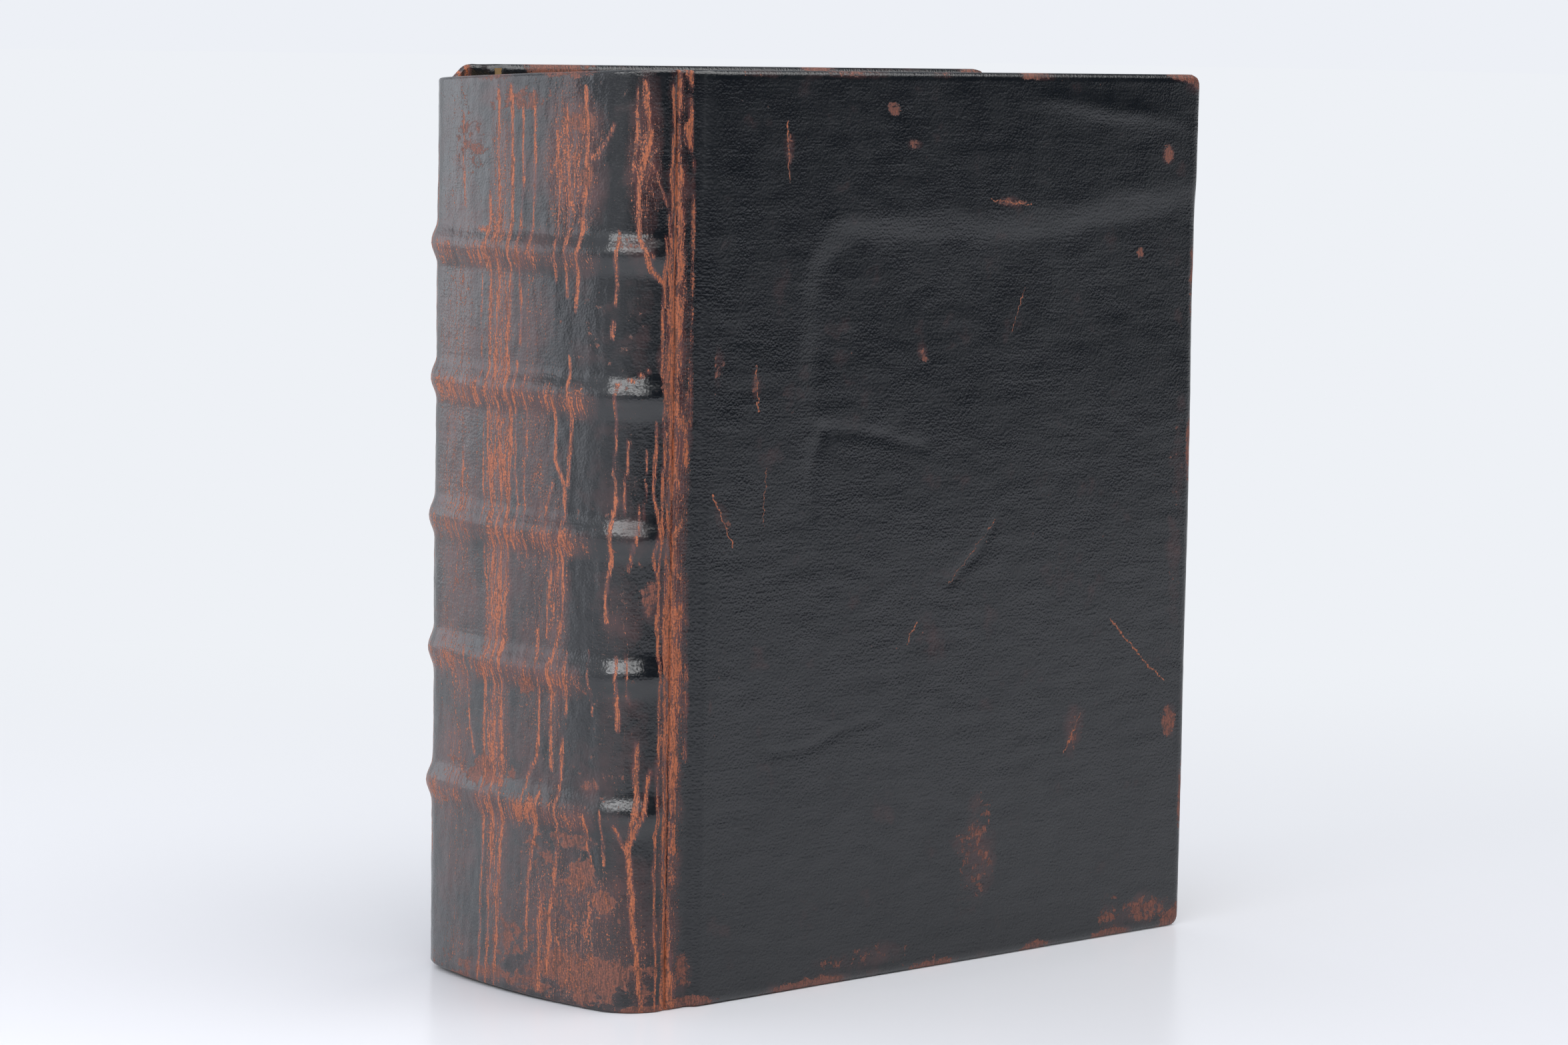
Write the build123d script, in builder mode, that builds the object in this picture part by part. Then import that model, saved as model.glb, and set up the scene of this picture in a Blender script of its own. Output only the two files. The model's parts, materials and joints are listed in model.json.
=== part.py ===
from build123d import *
import os
from math import atan2, degrees, sqrt

os.makedirs("parts", exist_ok=True)

# An old full-leather book, bound on five raised cords and standing on its tail.
# +Z runs from tail to head, the spine faces -X, the fore edge +X, the front cover -Y.
# The origin is under the middle of the whole book, on the surface that it stands on.

# ---- overall sizes (mm)
height = 250.0              # boards, tail to head
thickness = 94.0            # over both covers
cover_width = 199.0         # hinge line to fore edge
spine_bulge = 18.8          # the rounded spine stands this far behind the hinge lines

# ---- the spine's rounded section
spine_corner = 14.0         # tight arcs that turn into the joints, either side of one broad arc
joint_flat = 1.6            # the leather runs on flat this far behind the hinge lines
leather = 1.1               # covering leather
lining = 0.8                # pasted linings between spine leather and sewn pages
glue_line = 0.05            # left between layers that follow each other round the spine
head_dip = 4.0              # the worn spine leather falls this far towards the back joint
tail_lift = 1.4             # and at the tail it is off the ground there by this much

# ---- raised bands over the sewing cords
band_height = 1.6
band_crest = 3.0            # height of the band's round top, along the spine
band_flank = 3.0            # run of the slope above and below it
band_corner = 17.0          # the bands flatten out towards the joints
cord_width = 5.0
head_panel = 48.5           # head of the boards down to the middle of the first band
band_steps = [37.3, 37.6, 36.8, 36.8]   # from each band down to the next

# ---- covers
joint_width = 9.5           # limp leather between the hinge line and the board
joint_slope = 1.9           # run of the step from the joint up to the board's face
joint_recess = 1.6          # the hinge lines lie this far below the covers' faces
joint_leather = 1.6         # the leather is doubled by its linings in the joint
hinge_gap = 0.3             # slit along each hinge line
axis_proud = 0.2            # the hinge axis lies just outside the leather
board = 4.0                 # pasteboard core
edge_round = 1.0            # leather rounded over the board's edges
turn_in = 15.0              # width of the leather turned over the board's inner side
turn_in_leather = 0.6       # pared thin there
paste_margin = 4.0          # turned-in leather left showing round the pasted-down paper

# ---- paper
paper = 0.3                 # endpapers
cover_gap = 0.3             # closed cover to the first leaf
square = 6.0                # the boards stand out past the pages on three sides
hollow = 5.0                # depth of the hollow fore edge
shoulder_run = 4.0          # the backed pages lean out over this width beside the hinge

# ---- cord slips and endbands
slip_width = 6.0
slip = 1.0
slip_start = 1.5            # the slips leave the pages' shoulder this far past the hinge line
slip_reach = 25.0           # laced this far into the board
endband = 2.6
endband_height = 1.8
endband_round = 0.8

# ---- places worked out from the sizes
half_thickness = thickness / 2
length = cover_width + spine_bulge + band_height
fore_x = length / 2
hinge_x = fore_x - cover_width
hinge_y = half_thickness - joint_recess
turn_depth = spine_bulge - joint_flat
spine_radius = ((hinge_y - spine_corner) ** 2 + turn_depth**2 - spine_corner**2) / (
    2 * (turn_depth - spine_corner)
)
broad_x = hinge_x - spine_bulge + spine_radius
board_x = hinge_x + joint_width
core_y = half_thickness - leather
core_inner_y = core_y - board
cover_inner_y = core_inner_y - turn_in_leather
paste_y = cover_inner_y - paper
leaf_y = paste_y - cover_gap
pages_y = leaf_y - paper
pages_low = square
pages_high = height - square
pages_inset = leather + lining
joint_inner_y = hinge_y - joint_leather
leaf_x = hinge_x + shoulder_run
band_levels = [height - head_panel - sum(band_steps[:count]) for count in range(len(band_steps) + 1)]


def spine_plan(inset=0.0, bulge=spine_bulge, corner=spine_corner, end=hinge_x - hinge_gap / 2):
    """Plan of the spine, set in from its leather by inset and closed at x = end."""
    reach = spine_radius + bulge - spine_bulge
    corner_y = hinge_y - corner
    corner_x = broad_x - sqrt((reach - corner) ** 2 - corner_y**2)
    lean = degrees(atan2(corner_y, broad_x - corner_x))
    side_y = hinge_y - inset
    with BuildSketch() as plan:
        with BuildLine():
            CenterArc((broad_x, 0), reach - inset, 180 - lean, 2 * lean)
            CenterArc((corner_x, -corner_y), corner - inset, 180 + lean, 90 - lean)
            CenterArc((corner_x, corner_y), corner - inset, 90, 90 - lean)
            Polyline((corner_x, -side_y), (end, -side_y), (end, side_y), (corner_x, side_y))
        make_face()
    return plan.sketch


def band_plan(inset=0.0):
    """Plan of a raised band, set in from its leather by inset."""
    return spine_plan(inset, spine_bulge + band_height, band_corner)


def save(piece, name):
    piece.label = name
    export_step(piece, f"parts/{name}.step")


# ---- pages: sewn, rounded at the spine and hollow at the fore edge
page_fore_x = fore_x - square
root_x = hinge_x - hinge_gap / 2
root_y = hinge_y - pages_inset

with BuildPart() as text_block:
    with BuildSketch(Plane.XY.offset(pages_low)):
        add(spine_plan(pages_inset))
        with BuildLine():
            Polyline(
                (page_fore_x, -pages_y),
                (leaf_x, -pages_y),
                (root_x, -root_y),
                (root_x, root_y),
                (leaf_x, pages_y),
                (page_fore_x, pages_y),
            )
            ThreePointArc((page_fore_x, pages_y), (page_fore_x - hollow, 0), (page_fore_x, -pages_y))
        make_face()
    extrude(amount=pages_high - pages_low)
save(text_block.part, "text_block")

# ---- spine leather: one skin from hinge line to hinge line, moulded over the cords,
# thicker where it is turned in above and below the pages
band_slope = degrees(atan2(band_height, band_flank))

with BuildPart() as spine_leather:
    with BuildSketch():
        add(spine_plan())
    extrude(amount=height)
    for level in band_levels:
        with BuildSketch(Plane.XY.offset(level)):
            add(band_plan())
        extrude(amount=band_crest / 2, both=True)
        with BuildSketch(Plane.XY.offset(level + band_crest / 2)):
            add(band_plan())
        extrude(amount=band_flank, taper=band_slope)
        with BuildSketch(-Plane.XY.offset(level - band_crest / 2)):
            add(band_plan().mirror(Plane.XZ))
        extrude(amount=band_flank, taper=band_slope)
    # room for the pages and linings, and for the cords under the bands
    with BuildSketch(Plane.XY.offset(pages_low)):
        add(spine_plan(leather, end=fore_x))
    extrude(amount=pages_high - pages_low, mode=Mode.SUBTRACT)
    with BuildSketch():
        add(spine_plan(pages_inset, end=fore_x))
    extrude(amount=height, mode=Mode.SUBTRACT)
    for level in band_levels:
        with BuildSketch(Plane.XY.offset(level)):
            add(band_plan(leather))
        extrude(amount=cord_width / 2, both=True, mode=Mode.SUBTRACT)
    # worn head and lifted tail: both slope across the spine, from front joint to back joint
    with BuildSketch(Plane.YZ.offset(-fore_x)):
        with BuildLine():
            Polyline(
                (-hinge_y, height),
                (hinge_y, height - head_dip),
                (hinge_y, height + head_dip),
                (-hinge_y, height + head_dip),
                close=True,
            )
        make_face()
        with BuildLine():
            Polyline(
                (-hinge_y, 0),
                (hinge_y, tail_lift),
                (hinge_y, -tail_lift),
                (-hinge_y, -tail_lift),
                close=True,
            )
        make_face()
    extrude(amount=length, mode=Mode.SUBTRACT)
save(spine_leather.part, "spine_leather")

# ---- sewing cords: each fills the hollow between the pages and its band
for number, level in enumerate(band_levels, start=1):
    with BuildPart() as sewing_cord:
        with BuildSketch(Plane.XY.offset(level)):
            add(band_plan(leather + glue_line))
            add(spine_plan(pages_inset - glue_line, end=fore_x), mode=Mode.SUBTRACT)
        extrude(amount=cord_width / 2 - glue_line, both=True)
    save(sewing_cord.part, f"sewing_cord_{number}")

# ---- spine linings: one pasted in each panel between the cords
panel_tops = [pages_high] + [level - cord_width / 2 - glue_line for level in band_levels]
panel_feet = [level + cord_width / 2 + glue_line for level in band_levels] + [pages_low]
for number, (top, foot) in enumerate(zip(panel_tops, panel_feet), start=1):
    with BuildPart() as spine_lining:
        with BuildSketch(Plane.XY.offset(foot)):
            add(spine_plan(leather + glue_line))
            add(spine_plan(pages_inset - glue_line, end=fore_x), mode=Mode.SUBTRACT)
        extrude(amount=top - foot)
    save(spine_lining.part, f"spine_lining_{number}")

# ---- endbands: sewn rolls along the spine's edge of the pages, at head and tail
for name, level, rise in [
    ("head_endband", pages_high, endband_height),
    ("tail_endband", pages_low, -endband_height),
]:
    with BuildPart() as roll:
        with BuildSketch(Plane.XY.offset(level)):
            add(spine_plan(pages_inset + glue_line))
            add(spine_plan(pages_inset + endband, end=fore_x), mode=Mode.SUBTRACT)
        extrude(amount=rise)
        free_side = roll.faces().filter_by(Axis.Z).sort_by(Axis.Z)[-1 if rise > 0 else 0]
        fillet(free_side.edges(), endband_round)
    save(roll.part, name)

# ---- covers: each is built on its own side, -1 for the front and 1 for the back
for cover, side in [("front", -1), ("back", 1)]:
    joint_x = hinge_x + hinge_gap / 2

    # pasteboard core, with slots in its spine edge for the laced cord slips
    with BuildPart() as core:
        with BuildSketch(Plane.XZ.offset(-side * core_inner_y)):
            with Locations(((board_x + fore_x - leather) / 2, height / 2)):
                Rectangle(fore_x - leather - board_x, height - 2 * leather)
        extrude(amount=-side * board)
        for level in band_levels:
            with BuildSketch(Plane.XZ.offset(-side * (joint_inner_y - slip))):
                with Locations((board_x + slip_reach / 2, level)):
                    Rectangle(slip_reach, slip_width)
            extrude(amount=-side * slip, mode=Mode.SUBTRACT)
    save(core.part, f"{cover}_board")

    # leather over the outside, the joint and the board's edges, and turned in round the inside
    with BuildPart() as skin:
        with BuildSketch():
            with BuildLine():
                Polyline(
                    (joint_x, side * hinge_y),
                    (board_x - joint_slope, side * hinge_y),
                    (board_x, side * half_thickness),
                    (fore_x, side * half_thickness),
                    (fore_x, side * cover_inner_y),
                    (board_x, side * cover_inner_y),
                    (board_x, side * joint_inner_y),
                    (joint_x, side * joint_inner_y),
                    close=True,
                )
            make_face()
        extrude(amount=height)
        outer_face = skin.faces().filter_by(Axis.Y).sort_by(Axis.Y)[0 if side < 0 else -1]
        fillet(outer_face.edges(), edge_round)
        with BuildSketch(Plane.XZ.offset(-side * core_inner_y)):
            with Locations(((board_x + fore_x - leather) / 2, height / 2)):
                Rectangle(fore_x - leather - board_x, height - 2 * leather)
        extrude(amount=-side * board, mode=Mode.SUBTRACT)
        with BuildSketch(Plane.XZ.offset(-side * core_inner_y)):
            with Locations(((board_x + fore_x - turn_in) / 2, height / 2)):
                Rectangle(fore_x - turn_in - board_x, height - 2 * turn_in)
        extrude(amount=side * turn_in_leather, mode=Mode.SUBTRACT)
    save(skin.part, f"{cover}_leather")

    # endpaper pasted down over the board and the turned-in leather, sunk between the turn-ins
    sheet_x = board_x + cover_gap
    with BuildPart() as pastedown:
        with BuildSketch(Plane.XZ.offset(-side * cover_inner_y)):
            with Locations(((sheet_x + fore_x - paste_margin) / 2, height / 2)):
                Rectangle(fore_x - paste_margin - sheet_x, height - 2 * paste_margin)
        extrude(amount=side * paper)
        with BuildSketch(Plane.XZ.offset(-side * core_inner_y)):
            with Locations(((sheet_x + fore_x - turn_in) / 2, height / 2)):
                Rectangle(fore_x - turn_in - sheet_x, height - 2 * turn_in)
        extrude(amount=side * turn_in_leather)
        with BuildSketch(Plane.XZ.offset(-side * (core_inner_y - paper))):
            with Locations(((sheet_x + fore_x - turn_in - paper) / 2, height / 2)):
                Rectangle(fore_x - turn_in - paper - sheet_x, height - 2 * (turn_in + paper))
        extrude(amount=side * turn_in_leather, mode=Mode.SUBTRACT)
    save(pastedown.part, f"{cover}_pastedown")

    # the ends of the sewing cords, flattened and laced into the board through its edge
    slip_x = hinge_x + slip_start
    for number, level in enumerate(band_levels, start=1):
        with BuildPart() as cord_slip:
            with BuildSketch(Plane.XZ.offset(-side * (joint_inner_y - slip))):
                with Locations(((slip_x + board_x + slip_reach) / 2, level)):
                    Rectangle(board_x + slip_reach - slip_x, slip_width)
            extrude(amount=-side * slip)
        save(cord_slip.part, f"{cover}_slip_{number}")

    # first leaf: lies on the pages and faces the pastedown
    with BuildPart() as flyleaf:
        with BuildSketch(Plane.XZ.offset(-side * pages_y)):
            with Locations(((leaf_x + page_fore_x) / 2, height / 2)):
                Rectangle(page_fore_x - leaf_x, pages_high - pages_low)
        extrude(amount=-side * paper)
    save(flyleaf.part, f"{cover}_flyleaf")
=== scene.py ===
import bpy
import bmesh
import math
import json
from mathutils import Matrix, Vector, noise


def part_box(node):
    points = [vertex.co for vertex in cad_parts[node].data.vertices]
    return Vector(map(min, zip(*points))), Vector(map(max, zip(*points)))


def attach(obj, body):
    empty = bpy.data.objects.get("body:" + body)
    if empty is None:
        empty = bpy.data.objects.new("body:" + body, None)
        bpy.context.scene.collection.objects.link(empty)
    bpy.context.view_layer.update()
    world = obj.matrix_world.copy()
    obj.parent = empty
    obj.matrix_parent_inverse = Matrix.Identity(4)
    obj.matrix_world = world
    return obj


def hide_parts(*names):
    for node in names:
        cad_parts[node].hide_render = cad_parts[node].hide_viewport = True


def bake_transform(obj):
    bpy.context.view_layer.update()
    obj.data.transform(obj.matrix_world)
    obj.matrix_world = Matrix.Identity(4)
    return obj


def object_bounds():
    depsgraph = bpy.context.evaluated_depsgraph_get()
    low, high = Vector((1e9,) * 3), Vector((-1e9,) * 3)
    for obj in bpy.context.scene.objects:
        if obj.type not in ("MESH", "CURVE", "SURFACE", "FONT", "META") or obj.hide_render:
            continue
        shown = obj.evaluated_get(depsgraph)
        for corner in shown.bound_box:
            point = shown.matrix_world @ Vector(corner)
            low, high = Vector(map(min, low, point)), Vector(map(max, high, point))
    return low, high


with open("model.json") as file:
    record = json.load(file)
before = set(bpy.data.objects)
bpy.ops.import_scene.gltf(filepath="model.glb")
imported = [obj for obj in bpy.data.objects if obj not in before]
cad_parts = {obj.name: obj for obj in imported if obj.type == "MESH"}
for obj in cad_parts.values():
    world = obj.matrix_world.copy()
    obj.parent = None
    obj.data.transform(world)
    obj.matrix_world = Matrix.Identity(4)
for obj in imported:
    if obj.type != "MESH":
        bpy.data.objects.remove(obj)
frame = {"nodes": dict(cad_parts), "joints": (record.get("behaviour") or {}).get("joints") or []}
cad_low, cad_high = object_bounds()
nodes = frame["nodes"]
MM = 0.001

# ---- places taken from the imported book, in millimetres
book_low, book_high = cad_low / MM, cad_high / MM
height = book_high.z
fore_x = book_high.x
face_y = book_high.y
hinge_x = [j for j in frame["joints"] if j["name"] == "front_cover_hinge"][0]["pos_m"][0] / MM
inner_y = -(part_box("front_leather")[1] / MM).y
hinge_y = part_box("spine_leather")[1].y / MM
cord_boxes = [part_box(f"sewing_cord_{n}") for n in range(1, 6)]
band_levels = [(low.z + high.z) / 2 / MM for low, high in cord_boxes]

# ---- sizes that the looks add, in millimetres
band_height = 1.6           # the spine's bands stand this far out of its leather
band_spread = 12.5          # a band's whole soft shoulder, along the spine
spine_depth = hinge_x - book_low.x - band_height
spine_corner = 14.0         # radius of the tight turn beside each joint
joint_flat = 1.6            # straight bit between the hinge line and that turn
joint_width = 9.5           # strip of leather that bends, beside the hinge line
joint_slope = 1.9           # width of the step from that strip up to the cover's face
cover_round = 1.3           # radius of a cover's edges
spine_round = 0.85          # radius of the spine's head and tail edges
spine_thick = 1.9           # leather and what it is turned in over, on the spine
cover_turn_in = 13.6        # leather folded in, inside a cover
spine_turn_in = 4.0         # leather folded in, at the spine's head and tail
skin = 0.6                  # pared leather
head_dip = 4.0              # the head is this much lower at the back than at the front
tail_lift = 1.4             # and the tail this much higher
head_ease = 36.0            # the leather takes up the dip over this much of its height
tail_ease = 30.0
blunt_corner = 3.2          # radius of a cover's fore corners, seen from its face
fold_length = 20.0          # of a folded edge on the leather's own map
spine_step = 0.64           # between the rows of points round the spine
front_step = 1.4            # and across the front cover
back_step = 2.2
up_step = 1.25              # and up the book

# the shallow sunk field of the front cover
panel_left = -40.0          # x of its edge nearest the spine
panel_top = 206.5
panel_corner = 19.0


def smooth(low, high, value):
    """0 below low, 1 above high, with a soft step between."""
    t = min(max((value - low) / (high - low), 0.0), 1.0)
    return t * t * (3 - 2 * t)


def grain(x, y, z, size):
    """Smooth noise of about -1 to 1 whose lumps are size apart."""
    return noise.noise(Vector((x, y, z)) / size)


# ---- the plan of the leather: from the front fore edge round the spine to the back fore edge
turn_depth = spine_depth - joint_flat
spine_radius = ((hinge_y - spine_corner) ** 2 + turn_depth**2 - spine_corner**2) / (
    2 * (turn_depth - spine_corner)
)
broad_x = hinge_x - spine_depth + spine_radius
corner_x = hinge_x - joint_flat
lean = math.atan2(hinge_y - spine_corner, broad_x - corner_x)
corner_run = spine_corner * (math.pi / 2 - lean)
cover_run = fore_x - cover_round - hinge_x
half_spine = joint_flat + corner_run + spine_radius * lean
front_hinge_s = cover_run
back_hinge_s = cover_run + 2 * half_spine
whole_s = back_hinge_s + cover_run


def half_plan(s):
    """Point and inward normal of the front half's outer surface, s from the fore edge."""
    u = s - cover_run
    if u <= 0:
        step = smooth(joint_width, joint_width - joint_slope, -u)
        recess = (face_y - hinge_y) * step
        return Vector((hinge_x - u, recess - face_y)), Vector((0.0, 1.0))
    if u <= joint_flat:
        return Vector((hinge_x - u, -hinge_y)), Vector((0.0, 1.0))
    if u <= joint_flat + corner_run:
        a = math.pi / 2 - (u - joint_flat) / spine_corner
        out = Vector((-math.cos(a), -math.sin(a)))
        return Vector((corner_x, spine_corner - hinge_y)) + out * spine_corner, -out
    a = lean - (u - joint_flat - corner_run) / spine_radius
    out = Vector((-math.cos(a), -math.sin(a)))
    return Vector((broad_x, 0.0)) + out * spine_radius, -out


def plan(s):
    """Point and inward normal of the leather's outer surface anywhere along its plan."""
    if s <= whole_s / 2:
        return half_plan(s)
    point, inward = half_plan(whole_s - s)
    return Vector((point.x, -point.y)), Vector((inward.x, -inward.y))


def over_spine(s):
    """1 on the spine, 0 on the covers, easing over the joints."""
    return smooth(cover_run - joint_width, cover_run + 2.0, s) * smooth(
        whole_s - cover_run + joint_width, whole_s - cover_run - 2.0, s
    )


def fold(q, thick, radius, turn_in):
    """A leather edge folded over: how far in from the edge, and how deep, a share q along."""
    arc = math.pi / 2 * radius
    wall = thick - 2 * radius
    d = q * (2 * arc + wall + turn_in)
    if d <= arc:
        a = d / radius
        return radius * (1 - math.sin(a)), radius * (1 - math.cos(a))
    if d <= arc + wall:
        return 0.0, radius + d - arc
    if d <= 2 * arc + wall:
        a = (d - arc - wall) / radius
        return radius * (1 - math.cos(a)), radius + wall + radius * math.sin(a)
    return radius + d - 2 * arc - wall, thick


# ---- cracks of the spine, where the dye has gone: the places each one runs through, its half
# width and its strength. A place is (around, up) in millimetres, with around measured on the
# leather from the front hinge line towards the back
cracks = [
    ([(-4.2, 250), (-3.4, 196), (-4.0, 150), (-2.6, 96), (-3.6, 50), (-3.0, 0)], 0.6, 0.86),
    ([(-2.4, 250), (-1.6, 200), (-2.2, 140), (-1.0, 88), (-2.0, 40), (-1.4, 0)], 0.62, 0.95),
    ([(-0.4, 250), (0.6, 190), (-0.2, 120), (0.8, 60), (0.2, 0)], 0.75, 1.1),
    ([(1.6, 246), (2.2, 200), (1.4, 150), (2.6, 100), (1.4, 30), (1.8, 0)], 0.68, 1.0),
    ([(3.6, 206), (4.4, 180), (3.4, 150), (4.6, 110), (3.8, 76), (4.6, 30), (3.6, 0)], 0.66, 0.95),
    ([(-6.2, 240), (-5.6, 170), (-6.2, 120), (-5.2, 60)], 0.5, 0.6),
    ([(0.6, 186), (1.2, 158)], 2.8, 0.95),
    ([(1.4, 118), (1.2, 90)], 2.6, 0.9),
    ([(0.6, 30), (0.8, 0)], 2.2, 0.9),
    ([(9.6, 248), (9.0, 232), (11.6, 220), (11.0, 206), (8.0, 198), (4.0, 194)], 1.1, 1.0),
    ([(12.0, 246), (12.6, 224), (11.4, 208)], 0.6, 0.75),
    ([(8.0, 226), (5.6, 220), (3.6, 215)], 0.6, 0.9),
    ([(11.8, 206), (7.5, 201)], 0.6, 0.85),
    ([(27.5, 246), (27.0, 224), (28.5, 206), (30.5, 186)], 0.9, 1.0),
    ([(27.5, 226), (23.0, 229), (18.5, 236)], 0.8, 0.95),
    ([(34.8, 242), (33.0, 216), (33.6, 190)], 0.8, 0.92),
    ([(38.2, 238), (36.6, 214), (37.4, 194)], 0.7, 0.85),
    ([(16.5, 208), (17.2, 188)], 0.7, 0.95),
    ([(17.5, 184), (17.9, 180)], 1.0, 0.95),
    ([(16.4, 167), (17.2, 150), (16.6, 134)], 0.6, 0.92),
    ([(16.5, 167.5), (12.0, 169), (8.0, 171)], 0.7, 0.9),
    ([(47.2, 246), (46.0, 226), (46.6, 200)], 0.9, 0.85),
    ([(51.6, 244), (50.6, 220), (51.8, 196), (50.8, 176)], 0.9, 0.85),
    ([(56.2, 248), (54.8, 210), (56.4, 176), (55.0, 150), (55.8, 118), (57.4, 92), (57.0, 50), (60.0, 0)],
        1.1, 0.98),
    ([(61.6, 246), (60.4, 200), (61.8, 168), (58.6, 146), (58.8, 112), (60.6, 92), (61.0, 50), (63.8, 0)],
        0.9, 0.95),
    ([(65.0, 216), (64.2, 180), (65.2, 150), (61.8, 128), (62.4, 106), (64.6, 84), (65.4, 40), (67.6, 0)],
        0.9, 0.92),
    ([(69.0, 200), (66.6, 137), (66.0, 113)], 0.6, 0.7),
    ([(52.4, 172), (53.2, 148), (51.6, 134), (51.2, 118)], 0.8, 0.9),
    ([(48.4, 168), (48.8, 136), (47.6, 120)], 0.7, 0.82),
    ([(37.6, 163), (37.2, 146), (33.6, 140), (33.0, 132), (34.2, 124), (33.6, 104), (36.0, 97), (38.0, 90),
        (37.4, 64)], 0.9, 1.05),
    ([(32.4, 174), (31.8, 156), (32.2, 140)], 0.8, 1.0),
    ([(37.8, 140), (40.2, 133), (37.8, 120), (39.2, 111), (39.6, 98)], 0.7, 0.95),
    ([(13.4, 153), (14.2, 134)], 0.6, 0.85),
    ([(16.4, 138), (17.4, 131), (17.0, 122), (19.2, 112), (18.6, 105)], 0.7, 1.0),
    ([(10.0, 136), (10.2, 130), (12.6, 118)], 0.6, 0.85),
    ([(5.8, 158), (6.4, 138), (4.6, 130), (6.2, 122), (4.2, 114)], 0.8, 0.95),
    ([(8.4, 150), (8.8, 132)], 0.5, 0.75),
    ([(15.6, 95), (15.4, 76)], 0.9, 1.0),
    ([(12.8, 96), (12.6, 84)], 0.6, 0.8),
    ([(24.0, 97), (23.2, 80)], 0.6, 0.85),
    ([(31.8, 95), (32.4, 78)], 0.7, 0.9),
    ([(43.2, 100), (41.8, 76), (43.0, 66), (46.6, 60), (48.4, 48)], 0.8, 0.95),
    ([(33.2, 72), (35.0, 42), (37.2, 20), (38.4, 6)], 0.9, 1.0),
    ([(41.0, 56), (45.2, 36), (46.4, 12)], 1.0, 0.98),
    ([(39.6, 30), (41.2, 18), (41.0, 2)], 1.1, 0.9),
    ([(10.2, 72), (9.8, 58), (11.6, 44), (10.4, 22), (7.6, 0)], 1.1, 1.0),
    ([(6.0, 65), (9.4, 50), (12.0, 43)], 0.9, 0.95),
    ([(15.2, 50), (12.2, 43)], 0.8, 0.9),
    ([(21.4, 30), (24.6, 20), (27.0, 13)], 0.8, 0.92),
    ([(24.4, 52), (24.0, 44), (22.0, 38)], 0.8, 0.85),
    ([(19.0, 54), (18.4, 40)], 0.6, 0.8),
    ([(76.4, 148), (77.0, 130)], 0.9, 0.8),
    ([(78.4, 240), (77.8, 212)], 0.9, 0.8),
    ([(74.0, 92), (72.4, 74), (70.0, 64)], 1.0, 0.8),
    ([(73.0, 207), (64.0, 206)], 0.8, 0.85),
    ([(104.0, 248), (105.0, 150), (104.4, 60), (105.6, 0)], 0.9, 0.9),
    ([(107.6, 250), (107.0, 130), (107.8, 0)], 1.0, 1.0),
    ([(110.0, 250), (110.6, 120), (109.8, 0)], 0.9, 0.95),
    ([(94.0, 230), (95.2, 120), (94.0, 30)], 0.7, 0.8),
]

# where fine cracks crowd together: (around, up) middle, half width, half height, strength
crazed = [
    ((-0.5, 125), 6.0, 190, 0.50),
    ((60, 125), 9.0, 190, 0.52),
    ((45, 130), 14, 160, 0.36),
    ((36, 100), 7.0, 70, 0.42),
    ((80, 125), 18, 200, 0.40),
    ((104, 125), 9, 200, 0.55),
    ((10, 225), 7, 34, 0.42),
    ((33, 226), 15, 30, 0.52),
    ((30, 20), 36, 34, 0.42),
    ((16, 100), 12, 130, 0.26),
]

# rubbed patches: (around, up), half width, half height, strength
rubbed_patches = [
    ((31, 238), 11, 6, 0.85),
    ((27, 222), 3.2, 4.4, 1.0),
    ((76, 230), 14, 17, 0.66),
    ((52, 244), 24, 5, 0.72),
    ((26, 36), 7, 6, 1.05),
    ((19, 30), 5, 4.0, 1.1),
    ((30, 45), 13, 3.4, 0.84),
    ((40, 40), 16, 12, 0.62),
    ((26, 8), 34, 11, 0.92),
    ((52, 14), 16, 12, 0.70),
    ((34, 26), 24, 20, 0.60),
    ((-5, 9), 6, 9, 0.78),
    ((66, 59), 10, 5.5, 0.94),
    ((52, 60), 4, 4, 0.8),
    ((80, 61), 7, 2.2, 0.8),
    ((2, 168), 5, 14, 0.86),
    ((7, 111), 3.4, 9, 0.74),
    ((47, 85), 6, 4.6, 0.82),
    ((14, 204), 6, 4, 0.66),
    ((80, 125), 26, 140, 0.44),
    ((24, 60), 6, 4, 0.72),
    ((55, 3), 60, 4, 0.74),
]

# marks on the front cover: (across, up) middle, half width, half height, strength
cover_marks = [
    ((26, 30), 12, 26, 0.62),
    ((64, 62), 7, 14, 0.55),
    ((34, 214), 9, 2.2, 0.7),
    ((104, 62), 4, 7, 0.95),
    ((-77, 80), 2.2, 5, 0.95),
    ((-11.5, 241), 4.0, 3.0, 0.85),
    ((-3.6, 231), 4, 2.4, 0.78),
    ((88, 199), 2.4, 2.4, 1.0),
    ((98, 228), 3.5, 4.5, 0.78),
    ((-50, 229), 2.0, 9, 0.72),
    ((-61, 166), 1.8, 8, 0.72),
    ((2, 172), 4, 5, 0.7),
    ((-74, 172), 5, 12, 0.6),
    ((-72, 130), 5, 10, 0.5),
    ((96, 5), 15, 6, 0.8),
    ((80, 5), 8, 9, 0.62),
    ((-20, 5), 40, 6, 0.55),
    ((10, 100), 40, 30, 0.36),
    ((-40, 175), 60, 60, 0.32),
    ((60, 120), 50, 60, 0.34),
    ((105, 130), 6, 90, 0.45),
]

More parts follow.
